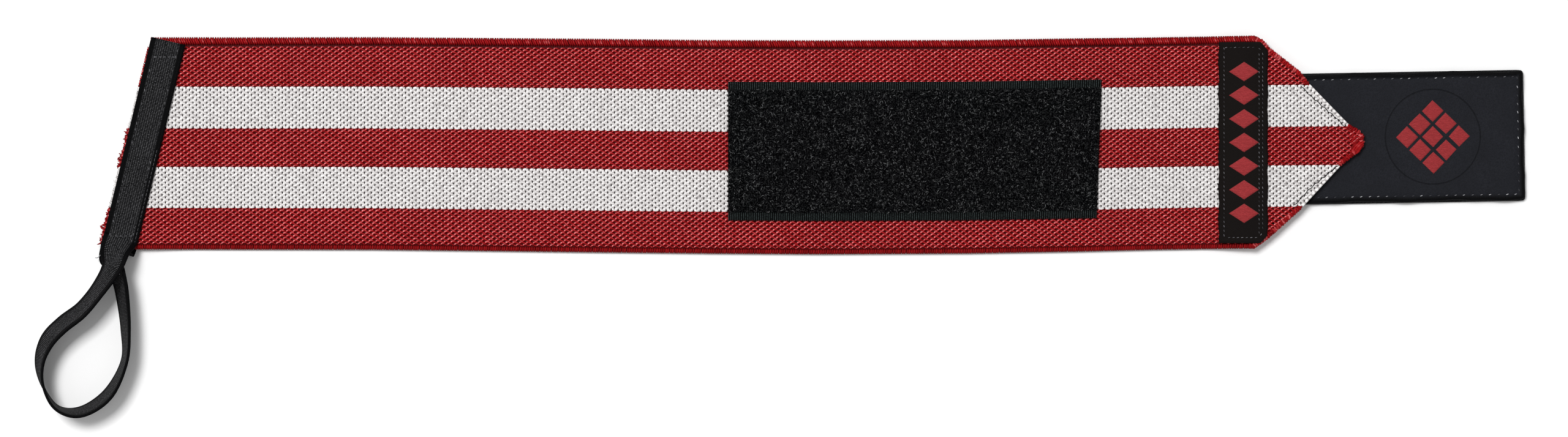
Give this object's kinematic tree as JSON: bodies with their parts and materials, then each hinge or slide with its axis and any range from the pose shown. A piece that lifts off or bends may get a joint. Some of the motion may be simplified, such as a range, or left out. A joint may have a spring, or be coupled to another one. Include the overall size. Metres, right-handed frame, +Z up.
{
  "type": "wrist wrap",
  "caption": "Flat striped elastic wrist wrap: woven band with a slanted and a pointed end, pile patch, label, hook closing tab and a free thumb loop of ribbed tape.",
  "frame": {"origin": "on the surface it lies on, under the middle of its bounding box", "axes": "+X along the band towards the closing tab, +Y across the band away from the thumb loop, +Z up out of the band's face"},
  "size_m": [0.5378, 0.1374, 0.0135],
  "materials": {
    "red_elastic": "knitted elastic with two white stripes",
    "loop_pile": "curly loop pile with woven margins",
    "woven_label": "fine satin weave with red embroidery",
    "tab_face": "smooth tight cloth over padding",
    "hook_layer": "moulded hooks on a woven backing",
    "ribbed_tape": "ribbed narrow tape"
  },
  "bodies": {
    "root": {"elastic_band": "red_elastic", "loop_patch": "loop_pile", "label": "woven_label", "tab_cover": "tab_face", "hook_pad": "hook_layer", "thumb_loop": "ribbed_tape"}
  },
  "joints": []
}
